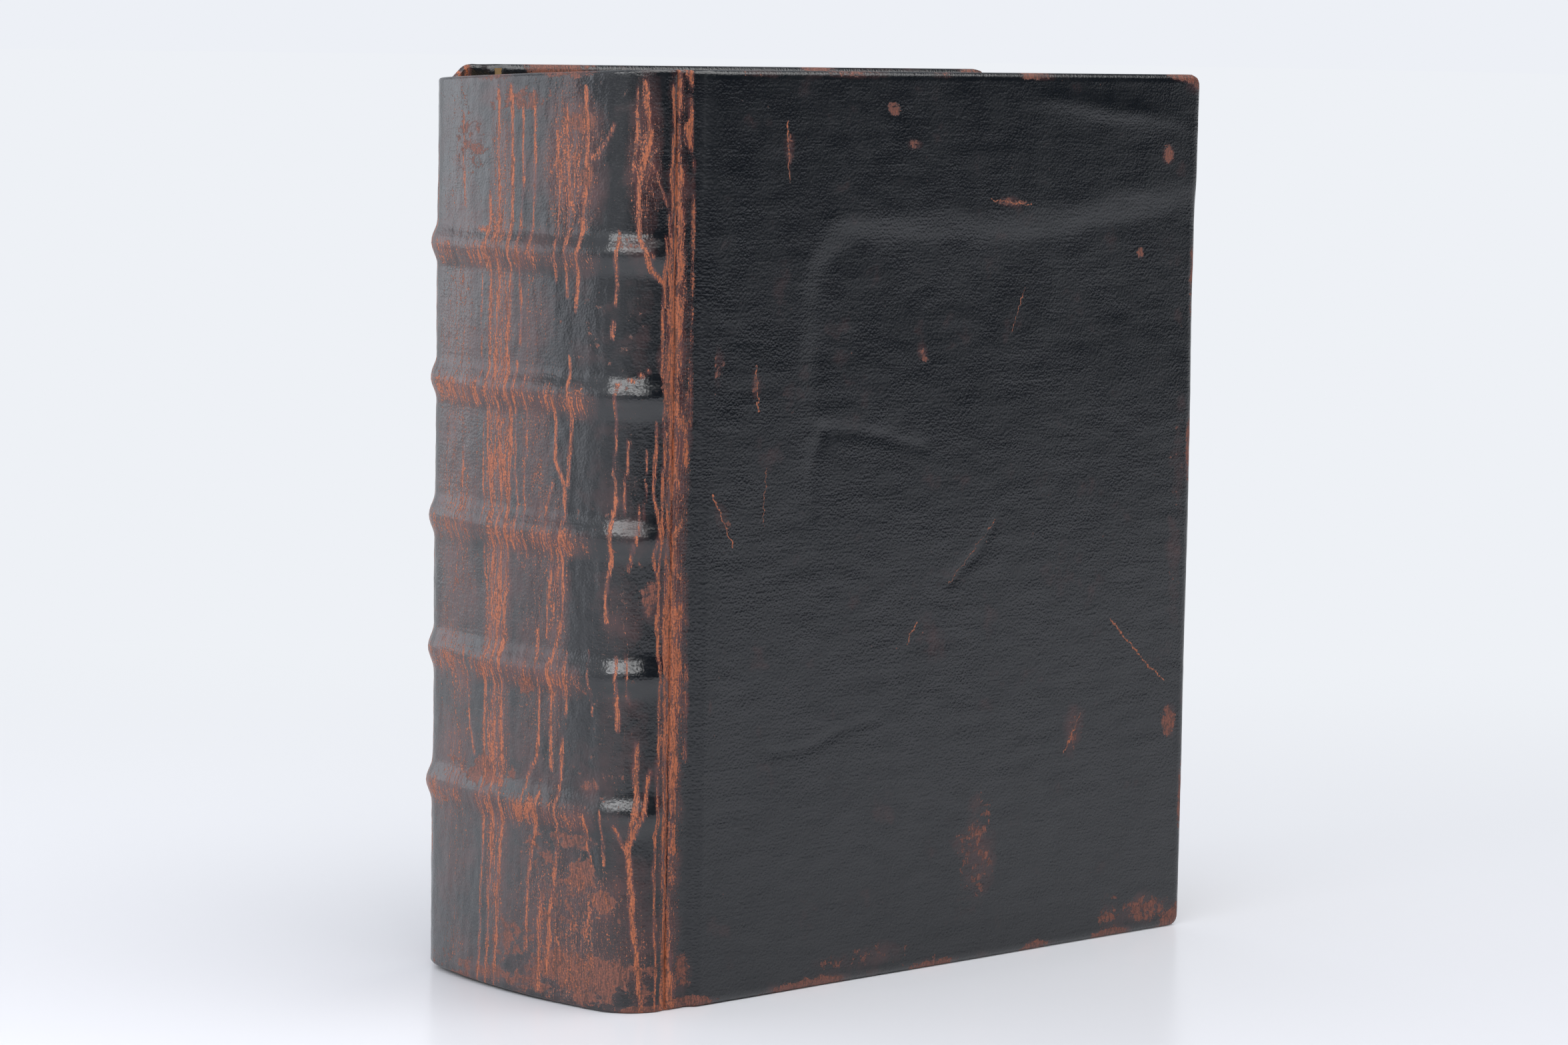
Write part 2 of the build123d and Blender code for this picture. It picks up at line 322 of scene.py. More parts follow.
# single scratches on the front cover: (around, up) from end to end in millimetres, and width
scratches = [
    ((31.2, 93.1), (18.0, 81.4), 0.42),
    ((18.0, 81.4), (7.9, 73.5), 0.34),
    ((96.9, 108.0), (79.0, 124.9), 0.10),
    ((185.2, 137.4), (177.8, 123.6), 0.36),
    ((112.7, 92.5), (109.0, 97.9), 0.40),
    ((49.2, 55.8), (42.7, 66.8), 0.30),
    ((160.8, 237.7), (159.6, 220.5), 0.30),
    ((170.7, 172.1), (169.5, 159.6), 0.42),
    ((73.6, 177.3), (68.7, 190.3), 0.16),
    ((166.3, 144.4), (167.1, 128.3), 0.14),
    ((83.2, 214.8), (67.6, 213.3), 0.30),
]

# creases in the front cover: (across, up) places, width and depth in millimetres
creases = [
    (((2, 146.5), (-20, 152), (-36, 153)), 1.9, 0.16),
    (((-36, 153), (-40, 144), (-39, 131)), 1.9, 0.16),
    (((-53, 66), (-38, 67), (-26, 71), (-14, 72)), 1.2, 0.14),
    (((13, 108), (24, 116), (31, 125)), 1.4, 0.16),
]


def near_line(u, z, run, width):
    """How near a place is to a run of straight pieces: 1 on it, falling softly to 0."""
    nearest = 99.0
    for (u0, z0), (u1, z1) in zip(run, run[1:]):
        if min(z0, z1) - 4 > z or z > max(z0, z1) + 4:
            continue
        du, dz = u1 - u0, z1 - z0
        along = ((u - u0) * du + (z - z0) * dz) / (du * du + dz * dz)
        along = min(max(along, 0.0), 1.0)
        nearest = min(nearest, math.hypot(u - u0 - du * along, (z - z0 - dz * along)))
    return math.exp(-((nearest / width) ** 2)) if nearest < 3 * width else 0.0


def patch_share(u, z, patches, ragged):
    """The strongest of the patches at a place, each fading over its outer half."""
    most = 0.0
    for (middle_u, middle_z), wide, tall, strength in patches:
        across, down = (u - middle_u) / wide, (z - middle_z) / tall
        d = across * across + down * down
        if d < 3.2:
            most = max(most, strength * smooth(1.45, 0.15, math.sqrt(d) + ragged))
    return most


def sunk_panel(x, z):
    """1 well inside the shallow sunk field of the front cover, 0 outside it."""
    across = x - panel_left
    top = panel_top + 8.0 * smooth(45.0, 112.0, x) + 1.2 * grain(x, 0.0, 3.0, 22.0)
    down = top - z
    if across < panel_corner and down < panel_corner:
        inside = panel_corner - math.hypot(panel_corner - across, panel_corner - down)
    else:
        inside = min(across, down)
    return smooth(-6.5, 4.0, inside)


def crack_at(s, t):
    """How thickly the leather is cracked at a place, 0 to 1 or a little over."""
    u, z = s - cover_run, min(max(t, 0.0), height)
    if not -12.0 < u < 2 * half_spine + 8.0:
        return 0.0
    drift = 0.55 * grain(0.3 * u, z, 7.0, 11.0) + 0.3 * grain(u, z, 1.0, 3.0)
    crazing = patch_share(u + drift, z, crazed, 0.0) * (1.0 + 0.3 * grain(u, z, 2.0, 14.0))
    for run, width, strength in cracks:
        along = 0.94 + 0.42 * grain(run[0][0], z, 5.0, 7.0)
        crazing = max(crazing, strength * along * near_line(u + drift, z, run, 0.72 * width))
    # short cracks cross the edges of the bands
    for level in band_levels:
        near = math.exp(-(((z - level + 2.0) / 6.0) ** 2)) * smooth(12.0, 30.0, u)
        crazing = max(crazing, 0.5 * near * (1.0 + 0.5 * grain(u, level, 2.0, 4.0)))
    return crazing


def rub_at(s, t):
    """How much the dyed grain is rubbed away at a place, 0 to 1."""
    u, z = s - cover_run, min(max(t, 0.0), height)
    on_front = s < whole_s / 2
    x = fore_x - (s if on_front else whole_s - s)
    side = 5.0 if on_front else 11.0
    rubbed = 0.0
    if -12.0 < u < 2 * half_spine + 12.0:
        ragged = 0.3 * grain(u, z, 2.0, 6.0)
        rubbed = patch_share(u, z, rubbed_patches, ragged)
        rubbed = max(rubbed, (0.36 + 0.2 * grain(u, z, 4.0, 24.0)) * smooth(0.0, 12.0, u))
    elif on_front:
        rubbed = max(0.26, patch_share(x, z, cover_marks, 0.25 * grain(x, z, 2.0, 7.0)))
    else:
        rubbed = 0.34 + 0.22 * grain(x, z, 14.0, 30.0)
    # bare along the edges, most of all at the corners and along the tail
    rough = 0.5 + 0.5 * grain(x, z, side, 9.0)
    to_tail, to_head, to_fore = max(t, 0.0), max(height - t, 0.0), max(fore_x - x, 0.0)
    if min(to_tail, to_head, to_fore) < 8.0:
        tail_share = 0.35 + 0.75 * smooth(-0.15, 0.45, grain(x, 0.0, side, 24.0))
        head_share = 0.25 + 0.65 * smooth(0.05, 0.6, grain(x, 9.0, side, 20.0))
        fore_share = 0.3 + 0.7 * smooth(0.0, 0.5, grain(0.0, z, side, 26.0))
        rubbed = max(rubbed, math.exp(-to_tail / 2.0) * tail_share * (0.6 + rough))
        rubbed = max(rubbed, math.exp(-to_head / 1.0) * head_share * (0.55 + rough))
        rubbed = max(rubbed, math.exp(-to_fore / 1.0) * fore_share * (0.55 + rough))
    for corner_z, reach in ((0.0, 10.0), (height, 5.0)):
        away = math.hypot(x - fore_x, t - corner_z) / reach
        rubbed = max(rubbed, 0.95 * math.exp(-away * away) * (0.5 + rough))
    return min(rubbed, 1.2)


def relief(s, t):
    """How far the leather stands out of its plan at a place, in millimetres."""
    u = s - cover_run
    z = min(max(t, 0.0), height)
    rise = 0.0
    around = min(u, 2 * half_spine - u)
    if around > 0.0:
        on = smooth(0.0, 7.5, around)
        for level in band_levels:
            bow = 0.5 * grain(u, level, 0.0, 18.0)
            off = (z - level - bow) / band_spread
            if abs(off) < 0.5:
                rise += band_height * on * math.cos(math.pi * off) ** 2
        rise += on * (0.16 * grain(u, z * 0.14, 2.0, 7.5) + 0.08 * grain(u, z * 0.3, 5.0, 2.2))
        rise += on * 0.3 * grain(u, z, 9.0, 24.0)
    if around > -joint_width:
        crack = math.exp(-((around / 2.6) ** 2))
        rise += crack * (0.30 * grain(u, z * 0.12, 8.0, 1.1) + 0.22 * grain(u, z * 0.3, 3.0, 3.5))
        rise -= 0.55 * math.exp(-((around / 0.8) ** 2))
        rise += 0.10 * grain(s, z, 6.0, 2.2) * smooth(-joint_width, -joint_width + 3.0, around)
    if around < -joint_width + 2.5:
        x = fore_x - (s if s < whole_s / 2 else whole_s - s)
        board = smooth(-joint_width + 2.5, -joint_width - 6.0, around)
        rise += board * (0.22 * grain(x, z, 3.0 if s < whole_s / 2 else 21.0, 46.0))
        rise += board * 0.07 * grain(x, z * 2.2, 9.0, 9.0)
        if s < whole_s / 2:
            fade = smooth(118.0, 190.0, z)
            rise -= (0.66 + 0.45 * grain(x, z, 1.0, 34.0)) * board * sunk_panel(x, z) * fade
            ridge = math.exp(-(((z - 243.0 + 0.12 * (x - 60)) / 3.2) ** 2))
            rise += 0.40 * ridge * smooth(38.0, 60.0, x) * smooth(112.0, 80.0, x)
            for run, width, deep in creases:
                rise -= deep * near_line(x, z, run, width)
    return rise


def stations(marks):
    """Places from the first mark to the last, with each stretch cut to about its own step."""
    places = [marks[0][0]]
    for (start, step), (end, _) in zip(marks, marks[1:]):
        count = max(1, round((end - start) / step))
        places += [start + (end - start) * (n + 1) / count for n in range(count)]
    return places


folds = [0.0, 0.05, 0.1, 0.15, 0.2, 0.28, 0.36, 0.42, 0.5, 0.75, 1.0]
up_face = stations([(0.0, up_step), (height, up_step)])
# below zero and above the height a station is a share of the fold at that edge
up = [-q for q in folds[:0:-1]] + up_face + [height + q for q in folds[1:]]


def leather_point(s, t, fore_fold):
    """A point of the leather's outer surface: s round the plan, t up the book, and its folds."""
    on_spine = over_spine(s)
    radius = cover_round + (spine_round - cover_round) * on_spine
    around = min(s, whole_s - s)
    thick = face_y - inner_y
    if around > cover_run - joint_width - 2:
        thin = smooth(cover_run - joint_width - 2, cover_run - joint_width + 1.5, around)
        thick += (spine_thick - thick) * thin
    turn_in = cover_turn_in + (spine_turn_in - cover_turn_in) * on_spine
    edge_fold = max(-t, t - height, 0.0)
    if edge_fold > 0 and fore_fold > 0:
        edge_fold = fore_fold = max(edge_fold, fore_fold)
    point, inward = plan(s)
    across = (point.y + hinge_y) / (2 * hinge_y)
    slope = min(max(across, 0.0), 1.0) * smooth(hinge_x + 1.0, hinge_x - 6.0, point.x)
    head = height - head_dip * slope
    tail = tail_lift * slope
    face_t = min(max(t, 0.0), height)
    depth = -relief(s, face_t) * (1.0 - max(edge_fold, fore_fold))
    z = face_t + (tail + radius) * smooth(tail_ease, 0.0, face_t)
    z -= (height - head + radius) * smooth(height - head_ease, height, face_t)
    if edge_fold > 0:
        back, down = fold(edge_fold, thick, radius, turn_in)
        depth += down
        z = head - back if t > height else tail + back
    x, y = point.x + inward.x * depth, point.y + inward.y * depth
    if fore_fold > 0:
        back, down = fold(fore_fold, thick, radius, turn_in)
        x = fore_x - back
        if edge_fold == 0:
            y = point.y + inward.y * (down + depth)
    return Vector((x, y, z))


def blunt(point, radius):
    """Rounds a cover's fore corners, seen from its face."""
    for corner_z, way in ((0.0, -1.0), (height, 1.0)):
        u = point.x - (fore_x - radius)
        w = way * (point.z - corner_z) + radius
        if u > 0 and w > 0:
            shrink = max(u, w) / math.hypot(u, w)
            point.x = fore_x - radius + u * shrink
            point.z = corner_z + way * (w * shrink - radius)
    return point


def leather_skin(name, start, end, steps):
    """One piece of the covering leather's outer surface, from s = start to s = end, with its folds."""
    around = stations([(start, steps), (end, steps)])
    rows = [(s, 0.0) for s in around]
    if start <= 0.0:
        rows = [(0.0, q) for q in folds[:0:-1]] + rows
    if end >= whole_s:
        rows = rows + [(whole_s, q) for q in folds[1:]]
    bm = bmesh.new()
    bmesh.ops.create_grid(bm, x_segments=len(rows) - 1, y_segments=len(up) - 1, size=0.5)
    uv = bm.loops.layers.uv.new("UVMap")
    crack = bm.verts.layers.float.new("crack")
    rub = bm.verts.layers.float.new("rub")
    places = {}
    for v in bm.verts:
        s, q = rows[round((v.co.x + 0.5) * (len(rows) - 1))]
        t = up[round((v.co.y + 0.5) * (len(up) - 1))]
        flat_s = s - q * fold_length if s <= 0.0 else s + q * fold_length
        over_head, under_tail = max(t - height, 0.0), min(t, 0.0)
        flat_t = min(max(t, 0.0), height) + (over_head + under_tail) * fold_length
        places[v] = (flat_s * MM, flat_t * MM)
        v[crack] = crack_at(s, t) * (1.0 - 0.4 * q)
        v[rub] = rub_at(s, t) * (1.0 - 0.8 * q)
        v.co = blunt(leather_point(s, t, q), blunt_corner) * MM
    for face in bm.faces:
        for loop in face.loops:
            loop[uv].uv = places[loop.vert]
    bmesh.ops.remove_doubles(bm, verts=bm.verts, dist=0.004 * MM)
    bmesh.ops.recalc_face_normals(bm, faces=bm.faces)
    return bm


def finish_piece(bm, name, material, smooth_faces=True):
    """Turns a bmesh into a named object of the scene with its material."""
    mesh = bpy.data.meshes.new(name)
    bm.to_mesh(mesh)
    bm.free()
    piece = bpy.data.objects.new(name, mesh)
    bpy.context.scene.collection.objects.link(piece)
    if material:
        mesh.materials.append(material)
    if smooth_faces:
        mesh.shade_smooth()
    return piece


# ---- materials
def colour(hex_code):
    """An sRGB hex colour as linear RGBA."""
    parts = [int(hex_code[n : n + 2], 16) / 255 for n in (1, 3, 5)]
    return [c / 12.92 if c <= 0.04045 else ((c + 0.055) / 1.055) ** 2.4 for c in parts] + [1.0]


def add(tree, kind, out=0, ins=None, **settings):
    """Adds a node with its settings and links and returns one of its outputs."""
    node = tree.nodes.new("ShaderNode" + kind)
    for key, value in settings.items():
        setattr(node, key, value)
    for key, value in (ins or {}).items():
        if isinstance(value, bpy.types.NodeSocket):
            tree.links.new(value, node.inputs[key])
        else:
            node.inputs[key].default_value = value
    return node.outputs[out]


def new_material(name):
    """An empty material whose shader and output are joined."""
    material = bpy.data.materials.new(name)
    material.use_nodes = True
    return material, material.node_tree, material.node_tree.nodes["Principled BSDF"]


def in_millimetres(tree, place):
    """A place given in metres, in millimetres."""
    return add(tree, "VectorMath", ins={0: place, 1: (1 / MM,) * 3}, operation="MULTIPLY")


def scratch_share(tree, place, start, end, width):
    """A mask of one straight scratch between two places on the leather, in millimetres."""
    run = (end[0] - start[0], end[1] - start[1], 0.0)
    long = run[0] ** 2 + run[1] ** 2
    step = (run[0] / long, run[1] / long, 0.0)
    off = add(tree, "VectorMath", ins={0: place, 1: (*start, 0.0)}, operation="SUBTRACT")
    along = add(tree, "VectorMath", out=1, ins={0: off, 1: step}, operation="DOT_PRODUCT")
    along = add(tree, "MapRange", ins={0: along})
    near = add(tree, "VectorMath", ins={0: run, "Scale": along}, operation="SCALE")
    off = add(tree, "VectorMath", out=1, ins={0: off, 1: near}, operation="DISTANCE")
    return add(tree, "MapRange", ins={0: off, 1: width, 2: 0.3 * width, 3: 0.0, 4: 1.0})


def dyed_leather():
    """Goatskin dyed black and polished by handling: satin over a pebbled grain, red-brown where
    the dye has cracked off or been rubbed away."""
    material, tree, shader = new_material("black_dyed_goatskin")
    place = in_millimetres(tree, add(tree, "UVMap"))
    crack = add(tree, "Attribute", out=2, attribute_name="crack")
    rub = add(tree, "Attribute", out=2, attribute_name="rub")
    # everything wanders a little from side to side
    sway = add(
        tree, "TexNoise", out=1, ins={"Vector": place, "Scale": 0.11, "Detail": 5.0, "Roughness": 0.62}
    )
    sway = add(tree, "VectorMath", ins={0: sway, 1: (-0.5, -0.5, -0.5)}, operation="ADD")
    sway = add(tree, "VectorMath", ins={0: sway, 1: (3.6, 6.0, 0.0)}, operation="MULTIPLY")
    bent = add(tree, "VectorMath", ins={0: place, 1: sway}, operation="ADD")
    # ragged: grain-sized noise, 0.6 mm, that frays every edge of the wear
    ragged = add(tree, "TexNoise", ins={"Vector": place, "Scale": 1.6, "Detail": 5.0, "Roughness": 0.72})
    fray = add(tree, "MapRange", ins={0: ragged, 1: 0.3, 2: 0.7, 3: -1.0, 4: 1.0}, clamp=False)
    # goat grain: pebbles about 0.75 mm across
    pebble = add(tree, "TexVoronoi", ins={"Vector": place, "Scale": 1.35})

    def cracks_of(size_s, size_t, least, most, widest, edge):
        """Lines between cells of a size in millimetres, wider where the leather is more cracked."""
        cell = add(
            tree, "VectorMath", ins={0: bent, 1: (1 / size_s, 1 / size_t, 1.0)}, operation="MULTIPLY"
        )
        line = add(tree, "TexVoronoi", ins={"Vector": cell, "Scale": 1.0}, feature="DISTANCE_TO_EDGE")
        open_by = add(tree, "MapRange", ins={0: crack, 1: least, 2: most, 3: -0.02, 4: widest}, clamp=False)
        gap = add(tree, "Math", ins={0: open_by, 1: line}, operation="SUBTRACT")
        frayed = add(tree, "Math", ins={0: fray, 1: edge, 2: gap}, operation="MULTIPLY_ADD")
        return add(tree, "MapRange", ins={0: frayed, 1: 0.0, 2: 0.03})

    # long cracks 2.4 mm apart, short ones 0.85 mm apart, and the open core of the worst lines
    long_cracks = cracks_of(2.4, 40.0, 0.18, 0.85, 0.11, 0.05)
    short_cracks = cracks_of(0.85, 12.0, 0.30, 0.95, 0.24, 0.09)
    core = add(tree, "Math", ins={0: fray, 1: 0.24, 2: crack}, operation="MULTIPLY_ADD")
    core = add(tree, "MapRange", ins={0: core, 1: 0.72, 2: 0.82})
    cracked = add(tree, "Math", ins={0: long_cracks, 1: short_cracks}, operation="MAXIMUM")
    cracked = add(tree, "Math", ins={0: cracked, 1: core}, operation="MAXIMUM")
    unruled = bent_a_little(tree, place)
    for start, end, width in scratches:
        scratch = scratch_share(tree, unruled, start, end, width)
        broken = add(tree, "Math", ins={0: fray, 1: 1.2, 2: scratch}, operation="MULTIPLY_ADD")
        broken = add(tree, "MapRange", ins={0: broken, 1: 0.55, 2: 0.75})
        scratch = add(tree, "Math", ins={0: broken, 1: scratch}, operation="MULTIPLY")
        cracked = add(tree, "Math", ins={0: cracked, 1: scratch}, operation="MAXIMUM")
    # rubbed patches: blotches whose share grows with the wear, held back in the grooves
    blotch = add(tree, "TexNoise", ins={"Vector": bent, "Scale": 0.32, "Detail": 8.0, "Roughness": 0.72})
    limit = add(tree, "MapRange", ins={0: rub, 1: 0.0, 2: 1.0, 3: 0.80, 4: 0.31}, clamp=False)
    blotch = add(tree, "Math", ins={0: blotch, 1: limit}, operation="SUBTRACT")
    blotch = add(tree, "Math", ins={0: pebble, 1: -0.05, 2: blotch}, operation="MULTIPLY_ADD")
    rubbed = add(tree, "MapRange", ins={0: blotch, 1: -0.01, 2: 0.025})
    # nicks: short flecks, more of them where the wear is
    fleck_cell = add(tree, "VectorMath", ins={0: bent, 1: (0.34, 0.2, 1.0)}, operation="MULTIPLY")
    fleck = add(tree, "TexVoronoi", ins={"Vector": fleck_cell, "Scale": 1.0})
    chance = add(tree, "SeparateColor", ins={0: fleck.node.outputs[1]})
    likely = add(tree, "MapRange", ins={0: rub, 1: 0.0, 2: 1.0, 3: 0.995, 4: 0.72})
    fleck_size = add(tree, "Math", ins={0: chance, 1: likely}, operation="SUBTRACT")
    fleck_size = add(tree, "MapRange", ins={0: fleck_size, 1: 0.0, 2: 0.28, 3: -0.02, 4: 0.26}, clamp=False)
    fleck = add(tree, "Math", ins={0: fleck_size, 1: fleck}, operation="SUBTRACT")
    fleck = add(tree, "Math", ins={0: fray, 1: 0.05, 2: fleck}, operation="MULTIPLY_ADD")
    fleck = add(tree, "MapRange", ins={0: fleck, 1: 0.0, 2: 0.03})
    rubbed = add(tree, "Math", ins={0: rubbed, 1: fleck}, operation="MAXIMUM")
    bare = add(tree, "Math", ins={0: rubbed, 1: cracked}, operation="MAXIMUM")
    # colours: blue-black dye, thin and purple-brown near the wear, then red-brown hide
    cloud = add(tree, "TexNoise", ins={"Vector": bent, "Scale": 0.07, "Detail": 6.0, "Roughness": 0.65})
    worn = add(tree, "Math", ins={0: rub, 1: 0.5}, operation="MULTIPLY")
    worn = add(tree, "Math", ins={0: crack, 1: worn}, operation="MAXIMUM")
    thin = add(tree, "MapRange", ins={0: worn, 1: 0.12, 2: 0.7, 3: -0.36, 4: 0.42}, clamp=False)
    thin = add(tree, "Math", ins={0: cloud, 1: thin}, operation="ADD")
    thin = add(tree, "MapRange", ins={0: thin, 1: 0.26, 2: 0.84})
    dye = add(
        tree, "Mix", out=2, ins={0: thin, 6: colour("#090d12"), 7: colour("#52302f")}, data_type="RGBA"
    )
    bright = add(tree, "MapRange", ins={0: ragged, 1: 0.32, 2: 0.68})
    fresh = add(
        tree, "Mix", out=2, ins={0: bright, 6: colour("#783a24"), 7: colour("#bd693d")}, data_type="RGBA"
    )
    faded = add(
        tree, "Mix", out=2, ins={0: bright, 6: colour("#4c2a22"), 7: colour("#8a4c37")}, data_type="RGBA"
    )
    hide = add(tree, "Mix", out=2, ins={0: cracked, 6: faded, 7: fresh}, data_type="RGBA")
    # painted shade in the slits between the torn fibres, 0.7 mm apart: the hide is darkened along them
    fibre = add(tree, "VectorMath", ins={0: bent, 1: (1.4, 0.16, 1.0)}, operation="MULTIPLY")
    fibre = add(tree, "TexVoronoi", ins={"Vector": fibre, "Scale": 1.0}, feature="DISTANCE_TO_EDGE")
    painted_slit_shade = add(tree, "Math", ins={0: fray, 1: 0.07, 2: fibre}, operation="MULTIPLY_ADD")
    painted_slit_shade = add(tree, "MapRange", ins={0: painted_slit_shade, 1: 0.11, 2: 0.04, 3: 0.0, 4: 0.72})
    hide = add(tree, "Mix", out=2, ins={0: painted_slit_shade, 6: hide, 7: colour("#2a1815")}, data_type="RGBA")
    skin_colour = add(tree, "Mix", out=2, ins={0: bare, 6: dye, 7: hide}, data_type="RGBA")
    tree.links.new(skin_colour, shader.inputs["Base Color"])
    polish = add(tree, "MapRange", ins={0: cloud, 1: 0.35, 2: 0.65, 3: 0.20, 4: 0.32})
    gloss = add(tree, "Mix", ins={0: bare, 2: polish, 3: 0.55})
    tree.links.new(gloss, shader.inputs["Roughness"])
    shader.inputs["Specular IOR Level"].default_value = 0.72
    # the pebbles, drag lines left by brushing, and the edge of the dye where it has gone
    drag_way = add(tree, "VectorMath", ins={0: place, 1: (0.10, 1.1, 1.0)}, operation="MULTIPLY")
    drag = add(tree, "TexNoise", ins={"Vector": drag_way, "Scale": 1.0, "Detail": 4.0, "Roughness": 0.6})
    height_of = add(tree, "Math", ins={0: pebble, 1: 0.07}, operation="MULTIPLY")
    height_of = add(tree, "Math", ins={0: drag, 1: 0.07, 2: height_of}, operation="MULTIPLY_ADD")
    height_of = add(tree, "Math", ins={0: cracked, 1: -0.16, 2: height_of}, operation="MULTIPLY_ADD")
    height_of = add(tree, "Math", ins={0: rubbed, 1: -0.05, 2: height_of}, operation="MULTIPLY_ADD")
    torn = add(tree, "Math", ins={0: bare, 1: ragged}, operation="MULTIPLY")
    height_of = add(tree, "Math", ins={0: torn, 1: 0.16, 2: height_of}, operation="MULTIPLY_ADD")
    bump = add(tree, "Bump", ins={"Height": height_of, "Strength": 0.7, "Distance": MM})
    tree.links.new(bump, shader.inputs["Normal"])
    return material


def bent_a_little(tree, place):
    """The place on the leather, swayed by half a millimetre, for scratches that aren't ruled."""
    sway = add(tree, "TexNoise", out=1, ins={"Vector": place, "Scale": 0.5, "Detail": 2.0})
    sway = add(tree, "VectorMath", ins={0: sway, 1: (-0.5, -0.5, -0.5)}, operation="ADD")
    sway = add(tree, "VectorMath", ins={0: sway, 1: (2.6, 2.6, 0.0)}, operation="MULTIPLY")
    return add(tree, "VectorMath", ins={0: place, 1: sway}, operation="ADD")


def flesh_side():
    """The undyed inner face of the goatskin: matt red-brown suede with a short nap."""
    material, tree, shader = new_material("goatskin_flesh_side")
    place = in_millimetres(tree, add(tree, "TexCoord", out=3))
    nap = add(tree, "TexNoise", ins={"Vector": place, "Scale": 1.2, "Detail": 6.0, "Roughness": 0.7})
    stain = add(tree, "TexNoise", ins={"Vector": place, "Scale": 0.06, "Detail": 4.0})
    tone = add(tree, "Math", ins={0: nap, 1: stain}, operation="MULTIPLY")
    tone = add(tree, "MapRange", ins={0: tone, 1: 0.14, 2: 0.38})
    tone = add(
        tree, "Mix", out=2, ins={0: tone, 6: colour("#54301f"), 7: colour("#8a5638")}, data_type="RGBA"
    )
    tree.links.new(tone, shader.inputs["Base Color"])
    shader.inputs["Roughness"].default_value = 0.9
    shader.inputs["Specular IOR Level"].default_value = 0.2
    bump = add(tree, "Bump", ins={"Height": nap, "Strength": 0.6, "Distance": 0.3 * MM})
    tree.links.new(bump, shader.inputs["Normal"])
    return material


def aged_paper(name, light, dark, leaves_apart=0.0):
    """Rag paper gone the colour of tea: matt, softly clouded and foxed, or a stack of its edges."""
    material, tree, shader = new_material(name)
    place = in_millimetres(tree, add(tree, "TexCoord", out=3))
    cloud = add(tree, "TexNoise", ins={"Vector": place, "Scale": 0.05, "Detail": 7.0, "Roughness": 0.66})
    fibre = add(tree, "TexNoise", ins={"Vector": place, "Scale": 1.4, "Detail": 4.0, "Roughness": 0.6})
    tone = add(tree, "MapRange", ins={0: cloud, 1: 0.3, 2: 0.75, 3: 0.0, 4: 0.7})
    ridges = add(tree, "Math", ins={0: fibre, 1: 0.05}, operation="MULTIPLY")
    if leaves_apart:
        # leaf edges run along the book, and lie in gatherings of about 3 mm
        across = add(
            tree, "VectorMath", ins={0: place, 1: (0.012, 1 / leaves_apart, 0.012)}, operation="MULTIPLY"
        )
        leaves = add(
            tree, "TexNoise", ins={"Vector": across, "Scale": 1.0, "Detail": 3.0, "Roughness": 0.7}
        )
        fold_way = add(tree, "VectorMath", ins={0: place, 1: (0.004, 0.33, 0.004)}, operation="MULTIPLY")
        gathering = add(
            tree, "TexVoronoi", ins={"Vector": fold_way, "Scale": 1.0}, feature="DISTANCE_TO_EDGE"
        )
        # painted shade: the tone is darkened along the gaps between gatherings
        gap = add(tree, "MapRange", ins={0: gathering, 1: 0.09, 2: 0.0, 3: 0.0, 4: 0.45})
        leaf_tone = add(tree, "MapRange", ins={0: leaves, 1: 0.34, 2: 0.68, 3: -0.12, 4: 0.5}, clamp=False)
        tone = add(tree, "Math", ins={0: tone, 1: leaf_tone}, operation="ADD")
        tone = add(tree, "Math", ins={0: tone, 1: gap}, operation="ADD")
        ridges = add(tree, "Math", ins={0: leaves, 1: 0.3}, operation="MULTIPLY")
    spots = add(tree, "TexVoronoi", ins={"Vector": place, "Scale": 0.06})
    foxing = add(tree, "Math", ins={0: fibre, 1: 0.3, 2: spots}, operation="MULTIPLY_ADD")
    foxing = add(tree, "MapRange", ins={0: foxing, 1: 0.24, 2: 0.17, 3: 0.0, 4: 0.5})
    tone = add(tree, "Math", ins={0: tone, 1: foxing}, operation="ADD", use_clamp=True)
    tone = add(tree, "Mix", out=2, ins={0: tone, 6: colour(light), 7: colour(dark)}, data_type="RGBA")
    tree.links.new(tone, shader.inputs["Base Color"])
    shader.inputs["Roughness"].default_value = 0.85
    shader.inputs["Specular IOR Level"].default_value = 0.25
    bump = add(tree, "Bump", ins={"Height": ridges, "Strength": 0.7, "Distance": MM})
    tree.links.new(bump, shader.inputs["Normal"])
    return material


def wound_silk():
    """Endband silk: two colours of thread wound in turn over a core, with a soft sheen."""
    material, tree, shader = new_material("endband_silk")
    place = in_millimetres(tree, add(tree, "TexCoord", out=3))
    thread = add(tree, "TexWave", ins={"Vector": place, "Scale": 0.52}, bands_direction="Y")
    pair = add(tree, "TexWave", ins={"Vector": place, "Scale": 0.065}, bands_direction="Y")
    pair = add(tree, "MapRange", ins={0: pair, 1: 0.45, 2: 0.55})
    tone = add(
        tree, "Mix", out=2, ins={0: pair, 6: colour("#b7a078"), 7: colour("#6f4a3a")}, data_type="RGBA"
    )
    # painted shade: darker in the grooves between the turns of thread
    groove_shade = add(tree, "MapRange", ins={0: thread, 1: 0.0, 2: 0.4, 3: 0.55, 4: 0.0})
    tone = add(tree, "Mix", out=2, ins={0: groove_shade, 6: tone, 7: colour("#3a2a20")}, data_type="RGBA")
    tree.links.new(tone, shader.inputs["Base Color"])
    shader.inputs["Roughness"].default_value = 0.5
    bump = add(tree, "Bump", ins={"Height": thread, "Strength": 0.8, "Distance": 0.25 * MM})
    tree.links.new(bump, shader.inputs["Normal"])
    return material


